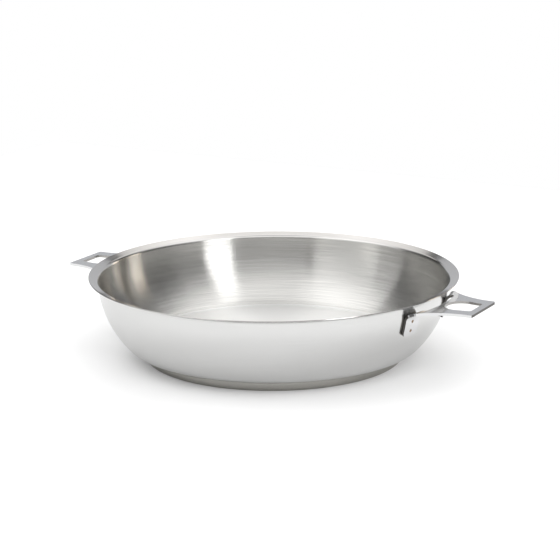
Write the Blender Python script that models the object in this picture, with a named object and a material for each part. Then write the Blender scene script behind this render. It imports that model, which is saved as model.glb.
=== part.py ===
"""A deep stainless frying pan with two fixed sheet-metal side handles and a capsule base.

The pan stands on z = 0, its axis is the z axis, and the two side handles point along +X and -X.
Everything is in metres. Every round piece is a turned profile: a list of (radius, height) points
that is spun about the z axis. The side handles are one folded sheet each.
"""

import math

import bmesh
import bpy
from mathutils import Euler, Matrix, Vector

# Body: one pressed sheet, from the cooking floor up the curved side to the pouring lip
PAN_HEIGHT = 0.0667            # surface it stands on to the top of the lip
BODY_SHEET = 0.0009            # thickness of the pressed sheet
LIP_RADIUS = 0.1470            # outside edge of the pouring lip
LIP_SLOPE = math.radians(17)   # how steeply the lip's flange rises outwards
LIP_BEND_RADIUS = 0.0022       # outside bend between the side and the flange
LIP_OVERHANG = 0.0073          # from the lip's edge in to the outside of the side below it
WALL_TOP_LEAN = math.radians(3.4)   # how far the side is from upright there
SIDE_ARC_RADIUS = 0.0780       # outside radius of the long curve of the side, seen in section
CORNER_RADIUS = 0.0130         # outside radius of the tighter curve into the floor

# Base: an aluminium disc held under the floor by a steel cap
CAP_SETBACK = 0.0363           # from the top of the pan's side in to the cap's upright side
CAP_SHEET = 0.0008             # thickness of the cap's sheet
CAP_FOOT_RADIUS = 0.0016       # outside bend where the cap meets the hob
CAP_SHOULDER_RADIUS = 0.0024   # outside bend at the top of the cap's side
CAP_RIM = 0.0015               # flat rim of the cap, turned in under the pan
CORE_THICKNESS = 0.0072        # aluminium disc that spreads the heat

# Side handles: one folded sheet each, with two ears that lie on the side of the pan
HANDLE_SHEET = 0.0020          # thickness of the sheet
HANDLE_DROP = 0.0076           # from the top of the lip down to the top of the handle
HANDLE_LENGTH = 0.0334         # from the lip's edge out to the handle's outer edge
HANDLE_TIP_WIDTH = 0.0452      # length of the straight outer edge
HANDLE_TIP_ROUND = 0.0020      # corner radius at both ends of the outer edge
HANDLE_FLANK_RADIUS = 0.0530   # hollow curve of each flank, from the tip to the ear
HANDLE_NOTCH_ROUND = 0.0016    # corner between the free inner edge and an ear
SLOT_WIDTH = 0.0078            # free gap between the side of the pan and the inner edge
WINDOW_MARGIN = 0.0057         # sheet left between the outer edge and the window
WINDOW_BAR = 0.0028            # sheet left between the window and the inner edge
WINDOW_TIP_WIDTH = 0.0240      # window's width at its outer end
WINDOW_ROOT_WIDTH = 0.0310     # window's width at its inner end, before the corners are rounded
WINDOW_TIP_ROUND = 0.0025      # corner radius at the window's outer end
WINDOW_ROOT_ROUND = 0.0118     # corner radius at the window's inner end
EAR_WIDTH = 0.0158             # width of an ear along the side of the pan
EAR_ANGLE = math.radians(13.5)   # from the handle's middle line to the middle of an ear
EAR_DEPTH = 0.0194             # top of the handle down to the bottom of an ear
EAR_FOLD_RADIUS = 0.0070       # outside radius of the fold between handle and ear
EAR_SHOULDER_ROUND = 0.0090    # outer corner of the sheet where the fold begins
EAR_SHOULDER_LENGTH = 0.0080   # how far down the fold that corner reaches
EAR_FOOT_ROUND = 0.0040        # corner radius at the bottom of an ear

# Spot welds: two in each ear
WELD_DIAMETER = 0.0032         # metal fused by one weld
WELD_DROP = 0.0074             # top of the handle down to the upper weld
WELD_PITCH = 0.0075            # upper weld to lower weld
WELD_DIMPLE = 0.0004           # depth of the electrode's mark in the ear

# Fits and smoothness
GAP = 0.0003                   # clearance between pieces that touch
TURNED_STEPS = 72              # sides of a turned piece
WELD_STEPS = 16                # sides of a weld
EAR_COLUMNS = 6                # strips across an ear
EAR_ROWS = 3                   # strips down the straight part of an ear
CORNER_STEPS = 4               # strips round a small corner
EDGE_STEPS = 8                 # strips along a long curved edge
ARC_STEP = math.radians(15)    # largest turn between two points of a curve in section
FLOOR_HEIGHT = CAP_SHEET + CORE_THICKNESS + 2 * GAP   # underside of the pan's floor

STEEL = {"name": "stainless_steel_satin", "colour": (0.60, 0.59, 0.57), "roughness": 0.28}
HANDLE_STEEL = {"name": "stainless_steel_polished", "colour": (0.62, 0.62, 0.62), "roughness": 0.18}
CAP_STEEL = {"name": "magnetic_steel", "colour": (0.50, 0.50, 0.49), "roughness": 0.32}
ALUMINIUM = {"name": "aluminium_disc", "colour": (0.75, 0.75, 0.76), "roughness": 0.45}


def clear_scene():
    for thing in list(bpy.data.objects):
        bpy.data.objects.remove(thing, do_unlink=True)


def metal(look):
    """A Principled metal of one colour and roughness, made once and shared."""
    found = bpy.data.materials.get(look["name"])
    if found:
        return found
    material = bpy.data.materials.new(look["name"])
    material.use_nodes = True
    shader = material.node_tree.nodes["Principled BSDF"]
    shader.inputs["Base Color"].default_value = (*look["colour"], 1.0)
    shader.inputs["Metallic"].default_value = 1.0
    shader.inputs["Roughness"].default_value = look["roughness"]
    return material


def add_object(name, bm, look, smooth=True):
    """Puts a finished bmesh into the scene as one named object."""
    bmesh.ops.recalc_face_normals(bm, faces=bm.faces)
    mesh = bpy.data.meshes.new(name)
    bm.to_mesh(mesh)
    bm.free()
    if smooth:
        mesh.shade_smooth()
        mesh.set_sharp_from_angle(angle=math.radians(35))
    thing = bpy.data.objects.new(name, mesh)
    thing.data.materials.append(metal(look))
    bpy.context.scene.collection.objects.link(thing)
    return thing


class Section:
    """Draws the outside line of a bent sheet in section, as (radius, height, heading) points.

    The heading is the direction of travel, measured anticlockwise from straight out.
    """

    def __init__(self, radius, height, heading):
        self.points = [(radius, height, heading)]

    def bend(self, radius, turn):
        """Follows an arc. A positive turn is to the left, a negative one to the right."""
        x, z, start = self.points[-1]
        side = math.copysign(1.0, turn)
        centre = (x - side * radius * math.sin(start), z + side * radius * math.cos(start))
        steps = max(2, math.ceil(abs(turn) / ARC_STEP))
        for i in range(1, steps + 1):
            heading = start + turn * i / steps
            self.points.append((
                centre[0] + side * radius * math.sin(heading),
                centre[1] - side * radius * math.cos(heading),
                heading,
            ))

    def run(self, length):
        x, z, heading = self.points[-1]
        self.points.append((x + length * math.cos(heading), z + length * math.sin(heading), heading))

    def offset(self, distance):
        """The same line, moved to the left of the direction of travel."""
        return [(x - distance * math.sin(a), z + distance * math.cos(a)) for x, z, a in self.points]

    def sheet(self, thickness):
        """Closed outline of the sheet that has this line as its outside."""
        return self.offset(0.0) + self.offset(thickness)[::-1]


def turned(name, outline, look, steps=TURNED_STEPS):
    """Spins an open outline, which starts and ends on the z axis, into a closed solid."""
    bm = bmesh.new()
    verts = [bm.verts.new((x, 0.0, z)) for x, z in outline]
    edges = [bm.edges.new(pair) for pair in zip(verts, verts[1:])]
    bmesh.ops.spin(
        bm, geom=verts + edges, cent=(0, 0, 0), axis=(0, 0, 1), angle=math.tau, steps=steps
    )
    bmesh.ops.remove_doubles(bm, verts=bm.verts, dist=1e-6)
    return add_object(name, bm, look)


WALL_TOP_RADIUS = LIP_RADIUS - LIP_OVERHANG
CAP_RADIUS = WALL_TOP_RADIUS - CAP_SETBACK
HANDLE_REACH = LIP_RADIUS + HANDLE_LENGTH

# The long curve of the pan's side, which the ears of the handles follow
LIP_BEND_TURN = math.pi / 2 - WALL_TOP_LEAN - LIP_SLOPE
WALL_TOP_HEADING = math.pi / 2 - WALL_TOP_LEAN


def lip_rise():
    """Height from the start of the lip's bend to the top of its edge."""
    bend_out = LIP_BEND_RADIUS * (math.sin(WALL_TOP_HEADING) - math.sin(LIP_SLOPE))
    bend_up = LIP_BEND_RADIUS * (math.cos(LIP_SLOPE) - math.cos(WALL_TOP_HEADING))
    flange_out = LIP_RADIUS - WALL_TOP_RADIUS - bend_out
    edge_up = BODY_SHEET * math.cos(LIP_SLOPE)
    return bend_up + flange_out * math.tan(LIP_SLOPE) + edge_up


WALL_TOP_HEIGHT = PAN_HEIGHT - lip_rise()
SIDE_CENTRE_RADIUS = WALL_TOP_RADIUS - SIDE_ARC_RADIUS * math.cos(WALL_TOP_LEAN)
SIDE_CENTRE_HEIGHT = WALL_TOP_HEIGHT + SIDE_ARC_RADIUS * math.sin(WALL_TOP_LEAN)


def side_radius(height, out=0.0):
    """Radius of the pan's side at a height, moved outwards from its outside by out."""
    reach = SIDE_ARC_RADIUS + out
    return SIDE_CENTRE_RADIUS + math.sqrt(reach ** 2 - (SIDE_CENTRE_HEIGHT - height) ** 2)


def make_body():
    """Floor, tight corner, long side curve, lip bend and flange, as one sheet."""
    # heading where the tight corner hands over to the long curve, from the height they must cover
    rise = WALL_TOP_HEIGHT - FLOOR_HEIGHT
    covered = rise - CORNER_RADIUS + SIDE_ARC_RADIUS * math.cos(WALL_TOP_HEADING)
    change = math.acos(covered / (SIDE_ARC_RADIUS - CORNER_RADIUS))
    floor_radius = SIDE_CENTRE_RADIUS + (SIDE_ARC_RADIUS - CORNER_RADIUS) * math.sin(change)

    line = Section(0.0, FLOOR_HEIGHT, 0.0)
    line.run(floor_radius)
    line.bend(CORNER_RADIUS, change)
    line.bend(SIDE_ARC_RADIUS, (WALL_TOP_HEADING - change) / 2)
    line.bend(SIDE_ARC_RADIUS, (WALL_TOP_HEADING - change) / 2)
    line.bend(LIP_BEND_RADIUS, -LIP_BEND_TURN)
    line.run((LIP_RADIUS - line.points[-1][0]) / math.cos(LIP_SLOPE))
    return turned("pan_body", line.sheet(BODY_SHEET), STEEL)


def cap_line():
    """Outside of the base cap: flat foot, upright side, shoulder and turned-in rim."""
    line = Section(0.0, 0.0, 0.0)
    line.run(CAP_RADIUS - CAP_FOOT_RADIUS)
    line.bend(CAP_FOOT_RADIUS, math.pi / 2)
    line.run(FLOOR_HEIGHT - GAP - CAP_SHOULDER_RADIUS - CAP_FOOT_RADIUS)
    line.bend(CAP_SHOULDER_RADIUS, math.pi / 2)
    line.run(CAP_RIM)
    return line


def make_cap():
    return turned("base_cap", cap_line().sheet(CAP_SHEET), CAP_STEEL)


def make_core():
    """Aluminium disc that fills the cap, with a step that goes up inside the cap's rim."""
    filled = cap_line().offset(CAP_SHEET + GAP)
    plateau_radius = filled[-1][0] - GAP
    plateau_height = FLOOR_HEIGHT - GAP
    outline = filled[:-1] + [
        (plateau_radius, filled[-1][1]),
        (plateau_radius, plateau_height),
        (0.0, plateau_height),
    ]
    return turned("heat_core", outline, ALUMINIUM)


# Side handles. Heights and radii of the middle of the sheet, which the thickness is added to
HANDLE_TOP = PAN_HEIGHT - HANDLE_DROP
HANDLE_MIDDLE = HANDLE_TOP - HANDLE_SHEET / 2
EAR_OUT = GAP + HANDLE_SHEET / 2
FOLD_RADIUS = EAR_FOLD_RADIUS - HANDLE_SHEET / 2
FOLD_CENTRE_HEIGHT = HANDLE_MIDDLE - FOLD_RADIUS
# the fold's arc touches the level handle above and the side of the pan beside it
FOLD_CENTRE_RADIUS = side_radius(FOLD_CENTRE_HEIGHT, EAR_OUT + FOLD_RADIUS)
FOLD_TURN = math.pi / 2 - math.asin(
    (SIDE_CENTRE_HEIGHT - FOLD_CENTRE_HEIGHT) / (SIDE_ARC_RADIUS + EAR_OUT + FOLD_RADIUS)
)
INNER_EDGE_RADIUS = side_radius(HANDLE_MIDDLE) + SLOT_WIDTH
EAR_HALF_ANGLE = EAR_WIDTH / 2 / side_radius(HANDLE_TOP - EAR_DEPTH / 2, GAP + HANDLE_SHEET)


def ear_rows():
    """The ear's middle line from the start of the fold to its foot, as (radius, height, length)."""
    rows = []
    fold_steps = max(2, math.ceil(FOLD_TURN / ARC_STEP))
    for i in range(fold_steps + 1):
        turn = FOLD_TURN * i / fold_steps
        radius = FOLD_CENTRE_RADIUS - FOLD_RADIUS * math.sin(turn)
        height = FOLD_CENTRE_HEIGHT + FOLD_RADIUS * math.cos(turn)
        rows.append((radius, height, FOLD_RADIUS * turn))
    _, top, length = rows[-1]
    foot = HANDLE_TOP - EAR_DEPTH
    curve = SIDE_ARC_RADIUS + EAR_OUT
    start = math.asin((SIDE_CENTRE_HEIGHT - top) / curve)
    end = math.asin((SIDE_CENTRE_HEIGHT - foot) / curve)
    foot_turn = EAR_FOOT_ROUND / curve
    straight = end - start - foot_turn
    downs = [start + straight * i / EAR_ROWS for i in range(1, EAR_ROWS + 1)]
    for i in range(1, CORNER_STEPS + 1):
        downs.append(end - foot_turn * (1 - math.sin(math.pi / 2 * i / CORNER_STEPS)))
    for down in downs:
        height = SIDE_CENTRE_HEIGHT - curve * math.sin(down)
        rows.append((side_radius(height, EAR_OUT), height, length + curve * (down - start)))
    return rows


def round_off(radius, distance):
    """How far a rounded corner draws a straight edge in, at a distance from the corner's start."""
    reach = min(max(distance, 0.0), radius)
    return radius - math.sqrt(radius ** 2 - reach ** 2)


def ear_limits(radius, length, total):
    """Inner and outer angle of the ear at a point along it, with its corners rounded off."""
    foot = round_off(EAR_FOOT_ROUND, length - (total - EAR_FOOT_ROUND)) / radius
    shoulder = round_off(EAR_SHOULDER_ROUND, EAR_SHOULDER_LENGTH - length) / radius
    inner = EAR_ANGLE - EAR_HALF_ANGLE + foot
    outer = EAR_ANGLE + EAR_HALF_ANGLE - foot - shoulder
    return inner, outer


def polar(radius, angle):
    return Vector((radius * math.cos(angle), radius * math.sin(angle)))


def rounded(before, corner, after, radius, steps=CORNER_STEPS):
    """Points of a round corner between two straight edges."""
    back = (before - corner).normalized()
    ahead = (after - corner).normalized()
    half = back.angle(ahead) / 2
    centre = corner + (back + ahead).normalized() * radius / math.sin(half)
    first = corner + back * radius / math.tan(half) - centre
    last = corner + ahead * radius / math.tan(half) - centre
    turn = first.angle_signed(last)
    return [centre + Matrix.Rotation(-turn * i / steps, 2) @ first for i in range(steps + 1)]


def hollow_arc(start, end, radius):
    """Points between start and end on an arc that bulges towards the handle's middle line."""
    chord = end - start
    middle = (start + end) / 2
    away = Vector((-chord.y, chord.x)).normalized()
    if away.y * middle.y < 0:
        away = -away
    centre = middle + away * math.sqrt(radius ** 2 - (chord.length / 2) ** 2)
    first = start - centre
    turn = first.angle_signed(end - centre)
    return [centre + Matrix.Rotation(-turn * i / EDGE_STEPS, 2) @ first for i in range(1, EDGE_STEPS)]


def inner_edge(ear_angle):
    """Plan of the free edge beside the pan, from the middle line to the notch at the ear."""
    notch = HANDLE_NOTCH_ROUND / INNER_EDGE_RADIUS
    end = ear_angle - notch
    points = [polar(INNER_EDGE_RADIUS, end * i / EDGE_STEPS) for i in range(EDGE_STEPS + 1)]
    for i in range(1, CORNER_STEPS):
        turn = math.pi / 2 * i / CORNER_STEPS
        drawn_in = HANDLE_NOTCH_ROUND * (1 - math.cos(turn))
        points.append(polar(INNER_EDGE_RADIUS - drawn_in, end + notch * math.sin(turn)))
    return points


def half_outline():
    """Plan of the flat sheet on the +Y side, in three runs that join: inner edge, ear root, flank."""
    inner, outer = ear_limits(FOLD_CENTRE_RADIUS, 0.0, ear_rows()[-1][2])
    root = [
        polar(FOLD_CENTRE_RADIUS, inner + (outer - inner) * i / EAR_COLUMNS)
        for i in range(EAR_COLUMNS + 1)
    ]
    tip = Vector((HANDLE_REACH, HANDLE_TIP_WIDTH / 2))
    corner = rounded(root[-1], tip, Vector((HANDLE_REACH, 0.0)), HANDLE_TIP_ROUND)
    flank = hollow_arc(root[-1], corner[0], HANDLE_FLANK_RADIUS) + corner
    return inner_edge(inner), root, flank


def window_outline():
    tip = HANDLE_REACH - WINDOW_MARGIN
    root = INNER_EDGE_RADIUS + WINDOW_BAR
    corners = [
        (Vector((tip, -WINDOW_TIP_WIDTH / 2)), WINDOW_TIP_ROUND, CORNER_STEPS),
        (Vector((tip, WINDOW_TIP_WIDTH / 2)), WINDOW_TIP_ROUND, CORNER_STEPS),
        (Vector((root, WINDOW_ROOT_WIDTH / 2)), WINDOW_ROOT_ROUND, EDGE_STEPS),
        (Vector((root, -WINDOW_ROOT_WIDTH / 2)), WINDOW_ROOT_ROUND, EDGE_STEPS),
    ]
    points = []
    for i, (corner, radius, steps) in enumerate(corners):
        before = corners[i - 1][0]
        after = corners[(i + 1) % len(corners)][0]
        points += rounded(before, corner, after, radius, steps)
    return points


def loop_edges(bm, points):
    verts = [bm.verts.new((p.x, p.y, HANDLE_MIDDLE)) for p in points]
    edges = [bm.edges.new((a, b)) for a, b in zip(verts, verts[1:] + verts[:1])]
    return verts, edges


def add_ear(bm, root):
    """Folds an ear down from its root, a row of vertices on the edge of the flat sheet."""
    rows = ear_rows()
    side = math.copysign(1.0, root[0].co.y)
    above = root
    for radius, height, length in rows[1:]:
        inner, outer = ear_limits(radius, length, rows[-1][2])
        row = []
        for i in range(EAR_COLUMNS + 1):
            spot = polar(radius, side * (inner + (outer - inner) * i / EAR_COLUMNS))
            row.append(bm.verts.new((spot.x, spot.y, height)))
        for i in range(EAR_COLUMNS):
            bm.faces.new((above[i], above[i + 1], row[i + 1], row[i]))
        above = row


def weld_spots():
    """Name, angle, radius, height and tilt of each weld of the handle on +X."""
    curve = SIDE_ARC_RADIUS + EAR_OUT
    for place, side in (("front", -1), ("back", 1)):
        for level, drop in (("upper", WELD_DROP), ("lower", WELD_DROP + WELD_PITCH)):
            height = HANDLE_TOP - drop
            tilt = math.asin((SIDE_CENTRE_HEIGHT - height) / curve)
            yield f"{place}_{level}", side * EAR_ANGLE, side_radius(height, EAR_OUT), height, tilt


def place_on_side(thing, angle, radius, height, tilt):
    """Stands a piece on the side of the pan, with its own z axis pointing away from the pan."""
    thing.location = (radius * math.cos(angle), radius * math.sin(angle), height)
    thing.rotation_euler = Euler((0.0, math.pi / 2 + tilt, angle))


def weld_cutter(name, *spot):
    bm = bmesh.new()
    bmesh.ops.create_cone(
        bm, cap_ends=True, segments=WELD_STEPS, depth=4 * HANDLE_SHEET,
        radius1=WELD_DIAMETER / 2 + GAP, radius2=WELD_DIAMETER / 2 + GAP,
    )
    cutter = add_object(name, bm, HANDLE_STEEL, smooth=False)
    place_on_side(cutter, *spot)
    cutter.hide_render = True
    cutter.display_type = "WIRE"
    return cutter


def make_handle(name, direction):
    """One side handle: flat loop, window, two folded ears and the holes that the welds fill."""
    bm = bmesh.new()
    edge, root, flank = half_outline()
    half = edge + root + flank
    mirrored = [Vector((p.x, -p.y)) for p in half[:0:-1]]
    verts, outer = loop_edges(bm, half + mirrored)
    _, window = loop_edges(bm, window_outline())
    bmesh.ops.triangle_fill(bm, edges=outer + window, use_beauty=True)
    first = len(edge)
    add_ear(bm, [verts[first + i] for i in range(EAR_COLUMNS + 1)])
    add_ear(bm, [verts[-first - i] for i in range(EAR_COLUMNS + 1)])
    handle = add_object(name, bm, HANDLE_STEEL)
    solid = handle.modifiers.new("sheet", "SOLIDIFY")
    solid.thickness = HANDLE_SHEET
    solid.offset = 0.0
    solid.use_even_offset = True
    for label, *spot in weld_spots():
        cutter = weld_cutter(f"{name}_cutter_{label}", *spot)
        cutter.parent = handle
        hole = handle.modifiers.new(f"hole_{label}", "BOOLEAN")
        hole.operation = "DIFFERENCE"
        hole.object = cutter
    handle.rotation_euler = (0.0, 0.0, direction)
    return handle


def make_weld(name, spot, handle):
    """A fused spot that fills its hole in the ear, with the shallow mark of the electrode."""
    top = HANDLE_SHEET / 2
    radius = WELD_DIAMETER / 2
    outline = [(0.0, -top), (radius, -top), (radius, top)]
    for i in range(CORNER_STEPS - 1, -1, -1):
        out = i / CORNER_STEPS
        outline.append((radius * out, top - WELD_DIMPLE * (1 - out ** 2)))
    weld = turned(name, outline, HANDLE_STEEL, WELD_STEPS)
    place_on_side(weld, *spot)
    weld.parent = handle
    return weld


def main():
    clear_scene()
    make_body()
    make_core()
    make_cap()
    for name, direction in (("right", 0.0), ("left", math.pi)):
        handle = make_handle(f"side_handle_{name}", direction)
        for label, *spot in weld_spots():
            make_weld(f"weld_{name}_{label}", spot, handle)


main()
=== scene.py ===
import math

import bmesh
import bpy
from mathutils import Matrix, Vector


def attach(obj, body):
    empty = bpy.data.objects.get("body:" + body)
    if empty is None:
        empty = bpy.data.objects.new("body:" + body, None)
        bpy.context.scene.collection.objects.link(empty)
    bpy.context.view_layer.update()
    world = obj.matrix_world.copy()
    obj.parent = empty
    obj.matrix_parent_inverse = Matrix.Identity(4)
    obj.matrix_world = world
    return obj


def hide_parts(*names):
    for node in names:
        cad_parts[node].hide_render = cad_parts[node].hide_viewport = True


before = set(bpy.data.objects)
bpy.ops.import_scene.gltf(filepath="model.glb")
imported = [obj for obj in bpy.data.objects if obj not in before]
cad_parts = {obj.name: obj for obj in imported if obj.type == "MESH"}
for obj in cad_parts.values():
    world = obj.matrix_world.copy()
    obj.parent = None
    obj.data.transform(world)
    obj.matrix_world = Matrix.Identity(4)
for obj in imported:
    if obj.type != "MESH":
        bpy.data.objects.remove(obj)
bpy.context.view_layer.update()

print("frame loaded:", len(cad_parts), "nodes")

mm = 0.001


def colourFrom(hexText):
    # sRGB hex to the linear values that the shaders want
    parts = [int(hexText[i:i + 2], 16) / 255 for i in (0, 2, 4)]
    linear = [p / 12.92 if p <= 0.04045 else ((p + 0.055) / 1.055) ** 2.4 for p in parts]
    return (*linear, 1.0)


def addNode(tree, kind, values=None, links=None, **settings):
    node = tree.nodes.new(kind)
    for name, value in settings.items():
        setattr(node, name, value)
    for socket, value in (values or {}).items():
        node.inputs[socket].default_value = value
    for socket, source in (links or {}).items():
        tree.links.new(source, node.inputs[socket])
    return node


# Camera: the photograph's own view, found by fitting the lip, the side and the base
camera = {
    "turn": math.radians(28.57),      # from the middle line of the handles to the picture's right
    "lookDown": math.radians(14.251),
    "roll": math.radians(0.327),
    "distance": 1591.0 * mm,          # to the middle of the lip
    "sideways": 4.94 * mm,            # off the pan's middle, to the right and upwards
    "upwards": -6.195 * mm,
    "lens": 128.68,                   # this and the sensor's width in Blender's millimetres
    "sensor": 36.0,
}


def makeCamera():
    turn, tilt, roll = camera["turn"], camera["lookDown"], camera["roll"]
    level = Vector((math.cos(turn), math.sin(turn), 0.0))
    away = Vector((-math.sin(turn), math.cos(turn), 0.0))
    ahead = away * math.cos(tilt) - Vector((0, 0, math.sin(tilt)))
    raised = away * math.sin(tilt) + Vector((0, 0, math.cos(tilt)))
    right = level * math.cos(roll) - raised * math.sin(roll)
    up = level * math.sin(roll) + raised * math.cos(roll)
    spot = Vector((0, 0, pan["height"])) - ahead * camera["distance"]
    spot += right * camera["sideways"] + up * camera["upwards"]
    data = bpy.data.cameras.new("photoCamera")
    data.lens = camera["lens"]
    data.sensor_width = camera["sensor"]
    thing = bpy.data.objects.new("photoCamera", data)
    bpy.context.scene.collection.objects.link(thing)
    facing = Matrix((right, up, -ahead)).transposed().to_4x4()
    thing.matrix_world = Matrix.Translation(spot) @ facing
    bpy.context.scene.camera = thing


# The pressed body, with the same section as the solid
pan = {
    "height": 66.7 * mm,
    "sheet": 0.9 * mm,
    "lipRadius": 147.0 * mm,
    "lipSlope": math.radians(17),
    "lipBend": 2.2 * mm,
    "sideTop": 139.7 * mm,        # outside radius where the lip's bend begins
    "sideLean": math.radians(3.4),
    "sideArc": 78.0 * mm,
    "floorCorner": 13.0 * mm,
    "floorHeight": 8.6 * mm,
    "steps": 240,                 # round the axis
    "edgeRound": 0.3 * mm,
    "edgeFrom": math.radians(60), # sharper edges than this are rounded
    "lipPolish": 0.3 * mm,        # the polish starts this far inside the top of the side
    "floorTurning": 1.0 * mm,     # the turned floor, lightened by painted light, reaches this far up its corner
}
arcStep = math.radians(3)         # along a curve in section
fewestSteps = 4                   # in a bend, however short
edgeSegments = 3                  # across a rounded edge
joinWithin = 0.001 * mm           # points closer than this are one point

bendOut = pan["lipBend"] * (math.cos(pan["sideLean"]) - math.sin(pan["lipSlope"]))
bendUp = pan["lipBend"] * (math.cos(pan["lipSlope"]) - math.sin(pan["sideLean"]))
flangeUp = (pan["lipRadius"] - pan["sideTop"] - bendOut) * math.tan(pan["lipSlope"])
sideTopHeight = pan["height"] - bendUp - flangeUp - pan["sheet"] * math.cos(pan["lipSlope"])
arcCentreRadius = pan["sideTop"] - pan["sideArc"] * math.cos(pan["sideLean"])
arcCentreHeight = sideTopHeight + pan["sideArc"] * math.sin(pan["sideLean"])


def sideRadius(height, out=0.0):
    # radius of the pan's side at a height, moved outwards from its outside by out
    below = arcCentreHeight - height
    return arcCentreRadius + math.sqrt((pan["sideArc"] + out) ** 2 - below ** 2)


# Making things

def startVertex(x, y, z):
    bpy.ops.object.select_all(action="DESELECT")
    bpy.ops.mesh.primitive_plane_add(size=mm)
    bpy.ops.object.mode_set(mode="EDIT")
    bpy.ops.mesh.select_all(action="SELECT")
    bpy.ops.mesh.merge(type="CENTER")
    bpy.ops.transform.translate(value=(x, y, z))


def extrudeBy(x, y, z):
    bpy.ops.mesh.extrude_region_move(TRANSFORM_OT_translate={"value": (x, y, z)})


def drawSection(radius, height, moves):
    # a line in the plane through the axis, drawn as runs (length) and bends (radius, turn)
    startVertex(radius, 0, height)
    heading = 0.0
    for kind, size, *turn in moves:
        count, step, length = 1, 0.0, size
        if kind == "bend":
            count = max(fewestSteps, math.ceil(abs(turn[0]) / arcStep))
            step = turn[0] / count
            length = 2 * size * math.sin(abs(step) / 2)
        for _ in range(count):
            middle = heading + step / 2
            extrudeBy(length * math.cos(middle), 0, length * math.sin(middle))
            heading += step


def spinSection(name, steps):
    bpy.ops.mesh.select_all(action="SELECT")
    bpy.ops.mesh.spin(steps=steps, angle=math.tau, center=(0, 0, 0), axis=(0, 0, 1))
    bpy.ops.mesh.select_all(action="SELECT")
    bpy.ops.mesh.remove_doubles(threshold=joinWithin)
    bpy.ops.mesh.normals_make_consistent(inside=False)
    bpy.ops.object.mode_set(mode="OBJECT")
    thing = bpy.context.object
    thing.name = thing.data.name = name
    lowest = min(thing.data.polygons, key=lambda face: face.center.z)
    if lowest.normal.z > 0:      # the underside has to look down
        thing.data.flip_normals()
    return thing


def addModifier(thing, kind, **settings):
    bpy.context.view_layer.objects.active = thing
    modifier = thing.modifiers.new(kind.lower(), kind)
    for name, value in settings.items():
        setattr(modifier, name, value)
    bpy.ops.object.modifier_apply(modifier=modifier.name)


def smoothShading(thing, degrees=35):
    bpy.ops.object.select_all(action="DESELECT")
    thing.select_set(True)
    bpy.context.view_layer.objects.active = thing
    bpy.ops.object.shade_smooth_by_angle(angle=math.radians(degrees))


def makePanShell():
    topHeading = math.pi / 2 - pan["sideLean"]
    rise = sideTopHeight - pan["floorHeight"]
    # heading where the floor's corner hands over to the long curve of the side
    covered = rise - pan["floorCorner"] + pan["sideArc"] * math.cos(topHeading)
    change = math.acos(covered / (pan["sideArc"] - pan["floorCorner"]))
    floorRadius = arcCentreRadius + (pan["sideArc"] - pan["floorCorner"]) * math.sin(change)
    flange = (pan["lipRadius"] - pan["sideTop"] - bendOut) / math.cos(pan["lipSlope"])
    drawSection(0, pan["floorHeight"], [
        ("run", floorRadius),
        ("bend", pan["floorCorner"], change),
        ("bend", pan["sideArc"], topHeading - change),
        ("bend", pan["lipBend"], pan["lipSlope"] - topHeading),
        ("run", flange),
    ])
    shell = spinSection("panShell", pan["steps"])
    for material in (satinSteel, brushedSteel, polishedLip, turnedFloorWithPaintedLight):
        shell.data.materials.append(material)
    inside, lip, floor = 1, 2, 3       # places in that list
    addModifier(shell, "SOLIDIFY", thickness=pan["sheet"], offset=-1, use_even_offset=True,
                material_offset=inside, material_offset_rim=lip)
    addModifier(shell, "BEVEL", width=pan["edgeRound"], segments=edgeSegments,
                limit_method="ANGLE", angle_limit=pan["edgeFrom"])
    lipFrom = pan["sideTop"] - pan["lipPolish"]
    floorTo = pan["floorHeight"] + pan["sheet"] + pan["floorTurning"]
    for face in shell.data.polygons:   # the brushing stops at the lip's bend and at the floor
        if face.material_index == inside and face.center.xy.length > lipFrom:
            face.material_index = lip
        # the floor's faces take the floor steel with its painted light
        elif face.material_index == inside and face.center.z < floorTo:
            face.material_index = floor
    smoothShading(shell)
    addModifier(shell, "WEIGHTED_NORMAL", keep_sharp=True)   # keeps the lip's flat band flat
    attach(shell, "root")
    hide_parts("pan_body")


# The steel cup of the capsule base
cup = {
    "radius": 103.4 * mm,
    "sheet": 0.8 * mm,
    "footRound": 1.6 * mm,
    "shoulderRound": 2.4 * mm,
    "rim": 1.5 * mm,             # turned in under the pan
    "gap": 0.3 * mm,             # to the pan's underside
}


def makeBaseCup():
    drawSection(0, 0, [
        ("run", cup["radius"] - cup["footRound"]),
        ("bend", cup["footRound"], math.pi / 2),
        ("run", pan["floorHeight"] - cup["gap"] - cup["footRound"] - cup["shoulderRound"]),
        ("bend", cup["shoulderRound"], math.pi / 2),
        ("run", cup["rim"]),
    ])
    thing = spinSection("baseCup", pan["steps"])
    thing.data.materials.append(cupSteelWithPaintedShade)
    addModifier(thing, "SOLIDIFY", thickness=cup["sheet"], offset=-1, use_even_offset=True)
    smoothShading(thing)
    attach(thing, "root")
    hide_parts("base_cap")


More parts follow.
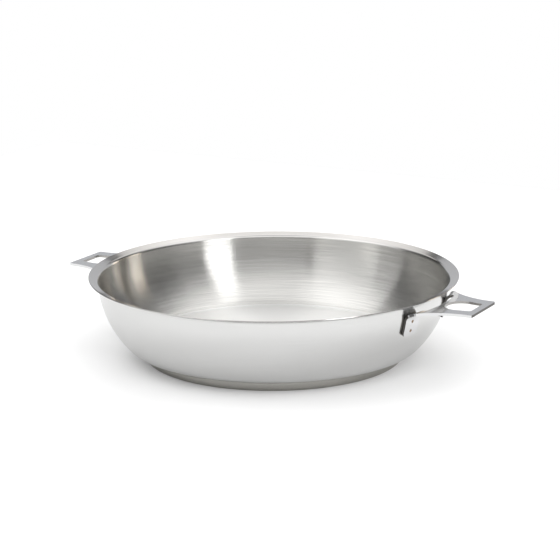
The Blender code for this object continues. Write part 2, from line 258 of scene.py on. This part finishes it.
# The side handles: one stamped and folded sheet each
handle = {
    "sheet": 2.0 * mm,
    "drop": 7.6 * mm,             # top of the lip down to the top of the handle
    "reach": 180.4 * mm,          # from the pan's axis
    "tipWidth": 45.2 * mm,
    "tipRound": 2.0 * mm,
    "flankCurve": 53.0 * mm,      # hollow curve of each side of the loop
    "notchRound": 1.6 * mm,
    "slot": 7.8 * mm,             # free gap beside the pan
    "windowMargin": 5.7 * mm,
    "windowBar": 2.8 * mm,
    "windowTip": 24.0 * mm,       # widths of the window
    "windowRoot": 31.0 * mm,
    "windowTipRound": 2.5 * mm,
    "windowRootRound": 11.8 * mm,
    "edgeRound": 0.4 * mm,
    "edgeFrom": math.radians(50), # sharper edges than this are rounded
    "innerSteps": 20,             # along the curves of the plan
    "notchSteps": 6,
    "flankSteps": 24,
    "tipSteps": 8,
    "windowRootSteps": 20,
}
ear = {
    "width": 15.8 * mm,
    "angle": math.radians(13.5),
    "depth": 19.4 * mm,
    "foldRadius": 7.0 * mm,
    "shoulderRound": 9.0 * mm,
    "shoulderLength": 8.0 * mm,
    "footRound": 4.0 * mm,
    "columns": 32,
    "rows": 20,
    "footRows": 10,
    "gap": 0.3 * mm,              # to the pan's side
}
weld = {
    "radius": 1.6 * mm,
    "drop": 7.4 * mm,             # top of the handle down to the upper weld
    "pitch": 7.5 * mm,
    "plug": 0.8,                  # radius of the fused metal, as a part of the weld's
    "dent": 1.2,                  # the same for the dent round it
    "dimple": 0.4 * mm,           # depth of the dent
    "sunk": 0.14 * mm,            # edge of the fused metal under the ear's face
    "rimIn": 0.12 * mm,
    "rimUp": 0.09 * mm,
    "dish": 0.25 * mm,
    "dishSteps": 6,
    "steps": 32,                  # round the weld
    "heatWidth": 0.8 * mm,
}

handleTop = pan["height"] - handle["drop"]
handleMiddle = handleTop - handle["sheet"] / 2
earOut = ear["gap"] + handle["sheet"] / 2
foldRadius = ear["foldRadius"] - handle["sheet"] / 2
foldHeight = handleMiddle - foldRadius
foldFromAxis = sideRadius(foldHeight, earOut + foldRadius)
foldTurn = math.pi / 2 - math.asin(
    (arcCentreHeight - foldHeight) / (pan["sideArc"] + earOut + foldRadius))
innerEdge = sideRadius(handleMiddle) + handle["slot"]
earHalf = ear["width"] / 2 / sideRadius(handleTop - ear["depth"] / 2, ear["gap"] + handle["sheet"])


def earRows():
    # radius, height and length along the ear, from the start of the fold to the foot
    rows = []
    count = math.ceil(foldTurn / arcStep)
    for i in range(count + 1):
        turn = foldTurn * i / count
        rows.append((foldFromAxis - foldRadius * math.sin(turn),
                     foldHeight + foldRadius * math.cos(turn), foldRadius * turn))
    top, length = rows[-1][1:]
    curve = pan["sideArc"] + earOut
    start = math.asin((arcCentreHeight - top) / curve)
    end = math.asin((arcCentreHeight - handleTop + ear["depth"]) / curve)
    foot = ear["footRound"] / curve
    downs = [start + (end - start - foot) * i / ear["rows"] for i in range(1, ear["rows"] + 1)]
    for i in range(1, ear["footRows"] + 1):
        downs.append(end - foot * (1 - math.sin(math.pi / 2 * i / ear["footRows"])))
    for down in downs:
        height = arcCentreHeight - curve * math.sin(down)
        rows.append((sideRadius(height, earOut), height, length + curve * (down - start)))
    return rows


def roundOff(radius, distance):
    # how far a rounded corner draws an edge in, at a distance past where it begins
    reach = min(max(distance, 0.0), radius)
    return radius - math.sqrt(radius ** 2 - reach ** 2)


def earLimits(radius, length, total):
    # inner and outer angle of the ear, with its corners rounded off
    foot = roundOff(ear["footRound"], length - (total - ear["footRound"])) / radius
    shoulder = roundOff(ear["shoulderRound"], ear["shoulderLength"] - length) / radius
    return ear["angle"] - earHalf + foot, ear["angle"] + earHalf - foot - shoulder


def polar(radius, angle):
    return Vector((radius * math.cos(angle), radius * math.sin(angle)))


def roundedCorner(before, corner, after, radius, steps):
    # points of the arc that touches both lines of a corner
    back = (before - corner).normalized()
    ahead = (after - corner).normalized()
    half = back.angle(ahead) / 2
    centre = corner + (back + ahead).normalized() * radius / math.sin(half)
    first = corner + back * radius / math.tan(half) - centre
    last = corner + ahead * radius / math.tan(half) - centre
    turn = first.angle_signed(last)
    return [centre + Matrix.Rotation(-turn * i / steps, 2) @ first for i in range(steps + 1)]


def flankCurve(start, end, radius, steps):
    # an arc that bulges towards the handle's middle line
    chord = end - start
    away = Vector((-chord.y, chord.x)).normalized()
    if away.y < 0:
        away = -away
    centre = (start + end) / 2 + away * math.sqrt(radius ** 2 - (chord.length / 2) ** 2)
    first = start - centre
    turn = first.angle_signed(end - centre)
    return [centre + Matrix.Rotation(-turn * i / steps, 2) @ first for i in range(1, steps)]


def halfPlate():
    # plan of the flat sheet on the +Y side, round the outside, back along the window
    inner, outer = earLimits(foldFromAxis, 0.0, earRows()[-1][2])
    notch = handle["notchRound"] / innerEdge
    steps = handle["innerSteps"]
    points = [polar(innerEdge, (inner - notch) * i / steps) for i in range(steps + 1)]
    for i in range(1, handle["notchSteps"]):
        turn = math.pi / 2 * i / handle["notchSteps"]
        points.append(polar(innerEdge - handle["notchRound"] * (1 - math.cos(turn)),
                            inner - notch + notch * math.sin(turn)))
    columns = ear["columns"]
    root = [polar(foldFromAxis, inner + (outer - inner) * i / columns) for i in range(columns + 1)]
    tip = Vector((handle["reach"], handle["tipWidth"] / 2))
    tipMiddle = Vector((handle["reach"], 0.0))
    corner = roundedCorner(root[-1], tip, tipMiddle, handle["tipRound"], handle["tipSteps"])
    flank = flankCurve(root[-1], corner[0], handle["flankCurve"], handle["flankSteps"])
    points += root + flank + corner + [tipMiddle]
    near = innerEdge + handle["windowBar"]
    far = handle["reach"] - handle["windowMargin"]
    windowTip = Vector((far, handle["windowTip"] / 2))
    windowRoot = Vector((near, handle["windowRoot"] / 2))
    farMiddle, nearMiddle = Vector((far, 0.0)), Vector((near, 0.0))
    points.append(farMiddle)
    points += roundedCorner(farMiddle, windowTip, windowRoot,
                            handle["windowTipRound"], handle["tipSteps"])
    points += roundedCorner(windowTip, windowRoot, nearMiddle,
                            handle["windowRootRound"], handle["windowRootSteps"])
    points.append(nearMiddle)
    return points


def makeHandle():
    points = halfPlate()
    startVertex(points[0].x, points[0].y, handleMiddle)
    for here, following in zip(points, points[1:]):
        extrudeBy(following.x - here.x, following.y - here.y, 0)
    bpy.ops.mesh.select_all(action="SELECT")
    bpy.ops.mesh.edge_face_add()       # one face closes the outline
    thing = bpy.context.object
    thing.name = thing.data.name = "handleRight"

    # the ear, folded down row by row from its root
    rows = earRows()
    total = rows[-1][2]
    inner, outer = earLimits(foldFromAxis, 0.0, total)
    slack = 1e-5                       # radians
    mesh = bmesh.from_edit_mesh(thing.data)
    for part in list(mesh.faces) + list(mesh.edges) + list(mesh.verts):
        part.select = False
    for edge in mesh.edges:
        edge.select = all(
            abs(v.co.xy.length - foldFromAxis) < joinWithin
            and inner - slack < math.atan2(v.co.y, v.co.x) < outer + slack for v in edge.verts)
    mesh.select_flush_mode()
    bmesh.update_edit_mesh(thing.data)
    for radius, height, length in rows[1:]:
        bpy.ops.mesh.extrude_region_move(TRANSFORM_OT_translate={"value": (0, 0, -mm)})
        mesh = bmesh.from_edit_mesh(thing.data)
        row = sorted((v for v in mesh.verts if v.select), key=lambda v: math.atan2(v.co.y, v.co.x))
        inner, outer = earLimits(radius, length, total)
        for i, vert in enumerate(row):
            spot = polar(radius, inner + (outer - inner) * i / (len(row) - 1))
            vert.co = (spot.x, spot.y, height)
        bmesh.update_edit_mesh(thing.data)
    bpy.ops.mesh.select_all(action="SELECT")
    bpy.ops.mesh.remove_doubles(threshold=joinWithin)
    bpy.ops.mesh.normals_make_consistent(inside=False)
    bpy.ops.object.mode_set(mode="OBJECT")
    if max(thing.data.polygons, key=lambda face: face.area).normal.z < 0:
        thing.data.flip_normals()      # the top has to look up
    addModifier(thing, "MIRROR", use_axis=(False, True, False), merge_threshold=10 * joinWithin)
    for material in (polishedSteel, shearedEdgeAndShade, windowEdgeAndShade):
        thing.data.materials.append(material)
    buffed, shearedAndShaded, deburredAndShaded = range(3)   # places in that list
    addModifier(thing, "SOLIDIFY", thickness=handle["sheet"], offset=0, use_even_offset=True,
                material_offset_rim=shearedAndShaded)
    plateFrom = handleTop - 1.2 * handle["sheet"]      # the flat sheet is above this
    flankFrom, tipFrom = 0.3, 0.8      # how far a flank's face turns outwards, the tip's along x
    margin = 0.5 * mm                  # keeps the two straight edges out of the window
    for face in thing.data.polygons:   # flanks buffed; window and other edges are dull cut metal, with painted shade in their darker colours
        if face.material_index != shearedAndShaded or face.center.z <= plateFrom:
            continue
        outwards = face.normal.y * math.copysign(1, face.center.y)
        if outwards > flankFrom and face.normal.x < tipFrom:
            face.material_index = buffed
        elif innerEdge + margin < face.center.x < handle["reach"] - margin:
            face.material_index = deburredAndShaded
    dentWelds(thing)
    addModifier(thing, "BEVEL", width=handle["edgeRound"], segments=edgeSegments,
                limit_method="ANGLE", angle_limit=handle["edgeFrom"])
    smoothShading(thing)
    addModifier(thing, "WEIGHTED_NORMAL", keep_sharp=True)
    markHeat(thing)
    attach(thing, "root")
    return thing


def weldSpots():
    # name and placing of each weld of the handle on +X, with its own z axis away from the pan
    for place, side in (("Front", -1), ("Back", 1)):
        for level, drop in (("Upper", weld["drop"]), ("Lower", weld["drop"] + weld["pitch"])):
            height = handleTop - drop
            tilt = math.asin((arcCentreHeight - height) / (pan["sideArc"] + earOut))
            spot = polar(sideRadius(height, earOut), side * ear["angle"])
            yield place, level, (
                Matrix.Translation((spot.x, spot.y, height))
                @ Matrix.Rotation(side * ear["angle"], 4, "Z")
                @ Matrix.Rotation(math.pi / 2 + tilt, 4, "Y"))


def dentWelds(thing):
    # the electrode presses a shallow round dent into the outer face of the ear
    reach = weld["radius"] * weld["dent"]
    faceBand = 0.3 * mm                # how near to the ear's outer face a point has to be
    for _, _, placing in weldSpots():
        back = placing.inverted()
        for vert in thing.data.vertices:
            local = back @ vert.co
            out = local.xy.length / reach
            if out < 1 and abs(local.z - handle["sheet"] / 2) < faceBand:
                local.z -= weld["dimple"] * (1 - out ** 2) ** 2
                vert.co = placing @ local


def markHeat(thing):
    # how far the welding has coloured the steel: a ring round each weld
    heat = thing.data.attributes.new("heat", "FLOAT", "POINT")
    for _, _, placing in weldSpots():
        back = placing.inverted()
        for i, vert in enumerate(thing.data.vertices):
            local = back @ vert.co
            if abs(local.z) < handle["sheet"]:
                away = (local.xy.length - weld["radius"]) / weld["heatWidth"]
                heat.data[i].value = max(heat.data[i].value, math.exp(-away ** 2))


def makeWeld():
    # fused metal through the ear, with a raised rim and a dished middle
    half, reach = handle["sheet"] / 2, weld["radius"] * weld["plug"]
    startVertex(0, 0, -half)
    extrudeBy(reach, 0, 0)
    extrudeBy(0, 0, 2 * half - weld["sunk"])
    extrudeBy(-weld["rimIn"], 0, weld["rimUp"])
    reach -= weld["rimIn"]
    count = weld["dishSteps"]
    for i in range(count):
        before, after = 1 - i / count, 1 - (i + 1) / count
        extrudeBy(-reach / count, 0, -weld["dish"] * (before ** 2 - after ** 2))
    thing = spinSection("weldSpot", weld["steps"])
    smoothShading(thing, degrees=50)
    thing.data.materials.append(weldMetal)
    return thing


def placeCopy(source, name, matrix):
    thing = source.copy()
    thing.data = source.data.copy()
    thing.data.transform(matrix)
    thing.name = thing.data.name = name
    bpy.context.scene.collection.objects.link(thing)
    return thing


def makeHandles():
    right = makeHandle()
    halfTurn = Matrix.Rotation(math.pi, 4, "Z")
    left = placeCopy(right, "handleLeft", halfTurn)
    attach(left, "root")
    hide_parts("side_handle_right")
    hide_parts("side_handle_left")
    source = makeWeld()
    for side, turn in (("Right", Matrix.Identity(4)), ("Left", halfTurn)):
        for place, level, placing in weldSpots():
            thing = placeCopy(source, "weldSpot" + side + place + level, turn @ placing)
            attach(thing, "root")
            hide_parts("_".join(("weld", side.lower(), place.lower(), level.lower())))
    bpy.data.objects.remove(source)


# Materials

def startMaterial(name, look):
    material = bpy.data.materials.new(name)
    material.use_nodes = True
    tree = material.node_tree
    shader = tree.nodes["Principled BSDF"]
    shader.inputs["Metallic"].default_value = 1.0
    shader.inputs["Base Color"].default_value = colourFrom(look["colour"])
    shader.inputs["Roughness"].default_value = look["roughness"]
    return material, tree, shader


brushLines = {
    "measuredAt": 140 * mm,       # radius at which a line has its stated length
    "detail": 3.0,
    "breakUp": 0.65,              # share of the finer noise
    "darkest": 0.32,              # the noise is spread from these two to the full range
    "lightest": 0.68,
}


def ringLines(tree, spacing, length):
    # fine lines that run round the axis: noise that is short along the section and long round it
    place = addNode(tree, "ShaderNodeTexCoord").outputs["Object"]
    flat = addNode(tree, "ShaderNodeVectorMath", {1: (1, 1, 0)}, {0: place}, operation="MULTIPLY")
    radius = addNode(tree, "ShaderNodeVectorMath", {}, {0: flat.outputs[0]}, operation="LENGTH")
    around = addNode(tree, "ShaderNodeVectorMath", {}, {0: flat.outputs[0]}, operation="NORMALIZE")
    stretched = addNode(tree, "ShaderNodeVectorMath",
                        {"Scale": brushLines["measuredAt"] / length},
                        {0: around.outputs[0]}, operation="SCALE")
    parts = addNode(tree, "ShaderNodeSeparateXYZ", {}, {0: place})
    along = addNode(tree, "ShaderNodeMath", {},
                    {0: radius.outputs["Value"], 1: parts.outputs["Z"]}, operation="ADD")
    lines = addNode(tree, "ShaderNodeMath", {1: 1 / spacing}, {0: along.outputs[0]},
                    operation="MULTIPLY")
    column = addNode(tree, "ShaderNodeCombineXYZ", {}, {"Z": lines.outputs[0]})
    where = addNode(tree, "ShaderNodeVectorMath", {},
                    {0: stretched.outputs[0], 1: column.outputs[0]}, operation="ADD")
    noise = addNode(tree, "ShaderNodeTexNoise",
                    {"Scale": 1.0, "Detail": brushLines["detail"],
                     "Roughness": brushLines["breakUp"]}, {"Vector": where.outputs[0]})
    clear = addNode(tree, "ShaderNodeMapRange",
                    {"From Min": brushLines["darkest"], "From Max": brushLines["lightest"]},
                    {"Value": noise.outputs["Fac"]})
    return clear.outputs["Result"]


def tintBy(tree, shader, pattern, look):
    # the pattern lightens and darkens the metal; 6 and 7 are the two colours of the mix
    mix = addNode(tree, "ShaderNodeMix", {}, {"Factor": pattern}, data_type="RGBA")
    colour, tint = colourFrom(look["colour"])[:3], look["tint"]
    mix.inputs[6].default_value = (*[c * (1 - tint) for c in colour], 1)
    mix.inputs[7].default_value = (*[min(1, c * (1 + tint)) for c in colour], 1)
    tree.links.new(mix.outputs[2], shader.inputs["Base Color"])


def roughenBy(tree, shader, pattern, look):
    # the pattern varies the gloss a little
    low, high = look["roughness"] - look["spread"], look["roughness"] + look["spread"]
    spread = addNode(tree, "ShaderNodeMapRange", {"To Min": low, "To Max": high},
                     {"Value": pattern})
    tree.links.new(spread.outputs["Result"], shader.inputs["Roughness"])


def smearAcrossRings(tree, shader, look):
    # reflections spread across lines that run round the axis, a quarter turn off the tangent
    shader.inputs["Anisotropic"].default_value = look["anisotropy"]
    shader.inputs["Anisotropic Rotation"].default_value = 0.25
    tangent = addNode(tree, "ShaderNodeTangent", direction_type="RADIAL", axis="Z")
    tree.links.new(tangent.outputs[0], shader.inputs["Tangent"])


def grainPattern(tree, look, detail=3.0, squeeze=1.0):
    # uneven patches of the look's grain, drawn out along z when squeezed
    place = addNode(tree, "ShaderNodeTexCoord").outputs["Object"]
    squeezed = addNode(tree, "ShaderNodeVectorMath", {1: (1, 1, squeeze)}, {0: place},
                       operation="MULTIPLY")
    noise = addNode(tree, "ShaderNodeTexNoise", {"Scale": 1 / look["grain"], "Detail": detail},
                    {"Vector": squeezed.outputs[0]})
    return noise.outputs["Fac"]


# Finishes. tint and spread are how far the pattern moves colour and roughness. Lines round the
# axis have a spacing and a length, other patterns a grain.
brushedLook = {
    "colour": "dddcd9", "roughness": 0.25, "spread": 0.02, "tint": 0.15, "anisotropy": 1.0,
    "tintLines": (0.4 * mm, 70 * mm), "lines": (0.5 * mm, 80 * mm), "lineDepth": 0.0025 * mm,
}
# the floor's colour is lighter than the same steel of the side: painted light
floorLookWithPaintedLight = {
    "colour": "f7f7f6", "roughness": 0.30, "spread": 0.01, "tint": 0.01, "anisotropy": 1.0,
    "lines": (1.0 * mm, 60 * mm),
}
satinLook = {
    "colour": "d8d8d7", "roughness": 0.20, "spread": 0.03, "tint": 0.02,
    "lines": (1.2 * mm, 50 * mm),
}
# darker than 18/0 steel alone: painted shade under the pan
cupLookWithPaintedShade = {
    "colour": "b0aea9", "roughness": 0.24, "spread": 0.04, "tint": 0.06,
    "lines": (0.9 * mm, 80 * mm),
}
lipLook = {
    "colour": "d8d6d4", "roughness": 0.12, "spread": 0.04, "tint": 0.02, "grain": 9 * mm,
}
handleLook = {
    "colour": "dcdcdd", "roughness": 0.12, "spread": 0.04, "tint": 0.02, "grain": 9 * mm,
    "heat": "7a5e42",
}
# the two edge colours are darker than dull cut steel alone: painted shade
dullEdgeAndShadeLook = {"colour": "5e5c59", "roughness": 0.34, "tint": 0.25, "grain": 0.6 * mm}
windowEdgeShadeLook = {"colour": "a6a4a1", "roughness": 0.24, "tint": 0.25, "grain": 0.6 * mm}
weldLook = {"colour": "8f7a62", "roughness": 0.34, "tint": 0.2, "grain": 0.8 * mm}
discLook = {"colour": "d9dadb", "roughness": 0.42, "tint": 0.05, "grain": 2 * mm}


def makeBrushedSteel():
    # 18/10 stainless steel, brushed round the axis by a turning pad: reflections smear up and down
    # such scratches are typically 0.05 mm apart, drawn at 0.4 mm and 0.5 mm so that they show
    material, tree, shader = startMaterial("brushed18-10Steel", brushedLook)
    smearAcrossRings(tree, shader, brushedLook)
    tintBy(tree, shader, ringLines(tree, *brushedLook["tintLines"]), brushedLook)
    lines = ringLines(tree, *brushedLook["lines"])
    roughenBy(tree, shader, lines, brushedLook)
    bump = addNode(tree, "ShaderNodeBump", {"Strength": 1.0, "Distance": brushedLook["lineDepth"]},
                   {"Height": lines})
    tree.links.new(bump.outputs["Normal"], shader.inputs["Normal"])
    return material


def makeTurnedFloorWithPaintedLight():
    # the floor, ground flat on a lathe: the light spreads over it more evenly; its colour, lighter
    # than the side's steel, is painted light
    # such a feed is typically 0.1 mm a turn, drawn at 1 mm so that it shows
    material, tree, shader = startMaterial("turned18-10SteelPaintedLight", floorLookWithPaintedLight)
    smearAcrossRings(tree, shader, floorLookWithPaintedLight)
    lines = ringLines(tree, *floorLookWithPaintedLight["lines"])
    tintBy(tree, shader, lines, floorLookWithPaintedLight)
    roughenBy(tree, shader, lines, floorLookWithPaintedLight)
    return material


def makeSatinSteel():
    # the same sheet outside, fine satin polish: soft, nearly even reflection
    # such scratches are typically 0.05 mm apart, drawn at 1.2 mm so that they show
    material, tree, shader = startMaterial("satin18-10Steel", satinLook)
    lines = ringLines(tree, *satinLook["lines"])
    tintBy(tree, shader, lines, satinLook)
    roughenBy(tree, shader, lines, satinLook)
    return material


def makePolishedSteel(name, look):
    # mirror-buffed steel with a trace of the buffing
    material, tree, shader = startMaterial(name, look)
    grain = grainPattern(tree, look, detail=4.0)
    tintBy(tree, shader, grain, look)
    roughenBy(tree, shader, grain, look)
    if "heat" in look:     # straw to brown round the welds
        heat = addNode(tree, "ShaderNodeAttribute", attribute_name="heat").outputs["Fac"]
        steel = shader.inputs["Base Color"].links[0].from_socket
        mix = addNode(tree, "ShaderNodeMix", {}, {"Factor": heat, 6: steel}, data_type="RGBA")
        mix.inputs[7].default_value = colourFrom(look["heat"])
        tree.links.new(mix.outputs[2], shader.inputs["Base Color"])
    return material


def makeEdgeWithPaintedShade(name, look):
    # the punched edge of the handle: dull, with short lines across the sheet; its dark colour is
    # partly painted shade
    material, tree, shader = startMaterial(name, look)
    tintBy(tree, shader, grainPattern(tree, look, squeeze=0.2), look)
    return material


def makeCupSteelWithPaintedShade():
    # magnetic 18/0 steel, pressed and turned: satin with fine circular lines; its dark colour is
    # partly painted shade from under the pan
    # such a feed is typically 0.1 mm a turn, drawn at 0.9 mm so that it shows
    material, tree, shader = startMaterial("turned18-0SteelPaintedShade", cupLookWithPaintedShade)
    lines = ringLines(tree, *cupLookWithPaintedShade["lines"])
    tintBy(tree, shader, lines, cupLookWithPaintedShade)
    roughenBy(tree, shader, lines, cupLookWithPaintedShade)
    return material


def makeGrainyMetal(name, look):
    # weld: fused steel, tinted brown by the heat; disc: pressed aluminium, matt grey
    material, tree, shader = startMaterial(name, look)
    tintBy(tree, shader, grainPattern(tree, look), look)
    return material


brushedSteel = makeBrushedSteel()
turnedFloorWithPaintedLight = makeTurnedFloorWithPaintedLight()
satinSteel = makeSatinSteel()
polishedLip = makePolishedSteel("polishedLip", lipLook)
polishedSteel = makePolishedSteel("buffedStampedSteel", handleLook)
# edge materials whose dark colours hold painted shade
shearedEdgeAndShade = makeEdgeWithPaintedShade("shearedEdgeSteelPaintedShade", dullEdgeAndShadeLook)
windowEdgeAndShade = makeEdgeWithPaintedShade("deburredEdgeSteelPaintedShade", windowEdgeShadeLook)
cupSteelWithPaintedShade = makeCupSteelWithPaintedShade()
weldMetal = makeGrainyMetal("heatTintedWeld", weldLook)
discAluminium = makeGrainyMetal("pressedAluminium", discLook)
print("materials made")

makePanShell()
print("pan shell made")
makeBaseCup()
print("base cup made")
makeHandles()
print("handles and welds made")
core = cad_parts["heat_core"]
for slot in core.material_slots:
    slot.material = discAluminium
print("heat core dressed")


# Floor, light and camera
studio = {
    "paper": "eeeeee",
    "floorSize": 1.4,         # metres
    "floorGlow": 0.12,        # added where the camera sees the paper
    "tentFrom": math.radians(24),
    "tentTo": math.radians(68),
    "tentLow": 0.05,
    "tentHigh": 1.4,
    "zenithFrom": math.radians(66),
    "zenith": 0.5,            # part of the tent's light left straight overhead
    "paperSky": 0.74,         # even light that only the paper gets
}


def makeFloor():
    bpy.ops.object.select_all(action="DESELECT")
    bpy.ops.mesh.primitive_plane_add(size=studio["floorSize"])
    floor = bpy.context.object
    floor.name = floor.data.name = "studioFloor"
    material = bpy.data.materials.new("whitePaper")
    material.use_nodes = True
    tree = material.node_tree
    shader = tree.nodes["Principled BSDF"]
    shader.inputs["Base Color"].default_value = colourFrom(studio["paper"])
    shader.inputs["Roughness"].default_value = 1.0
    shader.inputs["Specular IOR Level"].default_value = 0.0
    path = addNode(tree, "ShaderNodeLightPath")
    strength = addNode(tree, "ShaderNodeMath", {1: studio["floorGlow"]},
                       {0: path.outputs["Is Camera Ray"]}, operation="MULTIPLY")
    shader.inputs["Emission Color"].default_value = (1, 1, 1, 1)
    tree.links.new(strength.outputs[0], shader.inputs["Emission Strength"])
    floor.data.materials.append(material)


def makeWorld():
    # white behind everything, an even sky for the paper, and for the metal a tent that is dark
    # at the sides, bright higher up and dimmer overhead; 2 and 3 are the two values of a mix
    world = bpy.data.worlds.new("studio")
    bpy.context.scene.world = world
    world.use_nodes = True
    tree = world.node_tree
    background = tree.nodes["Background"]
    direction = addNode(tree, "ShaderNodeTexCoord").outputs["Generated"]
    parts = addNode(tree, "ShaderNodeSeparateXYZ", {}, {0: direction})
    tent = addNode(tree, "ShaderNodeMapRange", {
        "From Min": math.sin(studio["tentFrom"]), "From Max": math.sin(studio["tentTo"]),
        "To Min": studio["tentLow"], "To Max": studio["tentHigh"],
    }, {"Value": parts.outputs["Z"]}, interpolation_type="SMOOTHSTEP")
    zenith = addNode(tree, "ShaderNodeMapRange", {
        "From Min": math.sin(studio["zenithFrom"]), "To Min": 1.0, "To Max": studio["zenith"],
    }, {"Value": parts.outputs["Z"]}, interpolation_type="SMOOTHSTEP")
    dimmed = addNode(tree, "ShaderNodeMath", {},
                     {0: tent.outputs["Result"], 1: zenith.outputs["Result"]},
                     operation="MULTIPLY")
    path = addNode(tree, "ShaderNodeLightPath")
    light = addNode(tree, "ShaderNodeMix", {3: studio["paperSky"]}, {
        "Factor": path.outputs["Is Diffuse Ray"], 2: dimmed.outputs[0]})
    strength = addNode(tree, "ShaderNodeMix", {3: 1.0}, {
        "Factor": path.outputs["Is Camera Ray"], 2: light.outputs[0]})
    background.inputs["Color"].default_value = (1, 1, 1, 1)
    tree.links.new(strength.outputs[0], background.inputs["Strength"])


# Softboxes, all at one distance: degrees from the camera to the right, degrees up,
# width and height in degrees, brightness as the steel mirrors it (1 is white), colour
softboxDistance = 2.5     # metres
softboxes = {
    "rightStrip": (40, 11, 20, 20, 3.1, "ffffff"),
    "rightUpper": (42, 36, 17, 30, 1.6, "ffffff"),
    "sideStrip": (110, 7, 12, 12, 1.7, "fff0dc"),
    "sideNarrow": (134, 6, 8, 10, 2.9, "fff0de"),
    "sideSoft": (120, 8, 30, 16, 0.34, "ffecd4"),
    "leftLow": (306, 14, 50, 26, 0.72, "ffffff"),
    "leftEdge": (270, 12, 22, 22, 0.50, "ffffff"),
    "leftHigh": (290, 46, 80, 30, 0.57, "ffffff"),
    "backSheet": (170, 13.5, 72, 22.5, 0.55, "f9fbff"),
    "backMiddle": (180, 35, 46, 14, 0.55, "ffffff"),
    "backHigh": (180, 41, 60, 26, 0.12, "fff4e6"),
    "frontLow": (0, 10, 60, 16, 0.12, "ffffff"),
    "frontHigh": (5, 36, 60, 24, 0.35, "ffffff"),
}
floorLights = {                  # light the paper only
    "rightFill": (70, 26, 85, 22, 2.1, "ffffff"),
    "frontFill": (5, 40, 80, 24, 1.5, "ffffff"),
    "leftFill": (280, 58, 70, 30, 1.8, "ffffff"),
    "backFill": (185, 50, 60, 24, 2.6, "ffffff"),
}
darkCard = {
    "across": 91, "up": 12, "width": 26, "height": 48, "distance": 2.3, "colour": "0c0c0c",
}


def aimAt(across, up):
    # direction away from the pan
    turn, across, up = camera["turn"], math.radians(across), math.radians(up)
    right = Vector((math.cos(turn), math.sin(turn), 0))
    towards = Vector((math.sin(turn), -math.cos(turn), 0))
    level = towards * math.cos(across) + right * math.sin(across)
    return level * math.cos(up) + Vector((0, 0, math.sin(up)))


def makeSoftbox(name, across, up, width, height, brightness, colour):
    direction = aimAt(across, up)
    data = bpy.data.lights.new(name, "AREA")
    data.shape = "RECTANGLE"
    double = 2 * softboxDistance
    data.size = double * math.tan(math.radians(width / 2)) * math.cos(math.radians(up))
    data.size_y = double * math.tan(math.radians(height / 2))
    data.energy = brightness * math.pi * data.size * data.size_y
    data.color = colourFrom(colour)[:3]
    thing = bpy.data.objects.new(name, data)
    bpy.context.scene.collection.objects.link(thing)
    thing.location = Vector((0, 0, pan["height"])) + direction * softboxDistance
    thing.rotation_euler = direction.to_track_quat("Z", "Y").to_euler()
    thing.visible_camera = False
    return thing


def makeSoftboxes():
    # the steel shows the softboxes, the paper has lights of its own
    for name, settings in softboxes.items():
        makeSoftbox(name, *settings).visible_diffuse = False
    for name, settings in floorLights.items():
        makeSoftbox(name, *settings).visible_glossy = False


def makeDarkCard():
    # a black card that only the steel sees, for the dark patch at the left of the inside
    direction = aimAt(darkCard["across"], darkCard["up"])
    bpy.ops.object.select_all(action="DESELECT")
    bpy.ops.mesh.primitive_plane_add(
        size=1, location=Vector((0, 0, pan["height"])) + direction * darkCard["distance"],
        rotation=direction.to_track_quat("Z", "Y").to_euler())
    card = bpy.context.object
    card.name = card.data.name = "darkCard"
    double = 2 * darkCard["distance"]
    reach = math.cos(math.radians(darkCard["up"]))
    card.scale = (double * math.tan(math.radians(darkCard["width"] / 2)) * reach,
                  double * math.tan(math.radians(darkCard["height"] / 2)), 1)
    material = bpy.data.materials.new("blackFelt")
    material.use_nodes = True
    shader = material.node_tree.nodes["Principled BSDF"]
    shader.inputs["Base Color"].default_value = colourFrom(darkCard["colour"])
    shader.inputs["Roughness"].default_value = 1.0
    shader.inputs["Specular IOR Level"].default_value = 0.0
    card.data.materials.append(material)
    card.visible_camera = card.visible_diffuse = card.visible_shadow = False


makeFloor()
makeWorld()
makeSoftboxes()
makeDarkCard()
makeCamera()
bpy.context.scene.view_settings.view_transform = "Standard"
print("studio made")
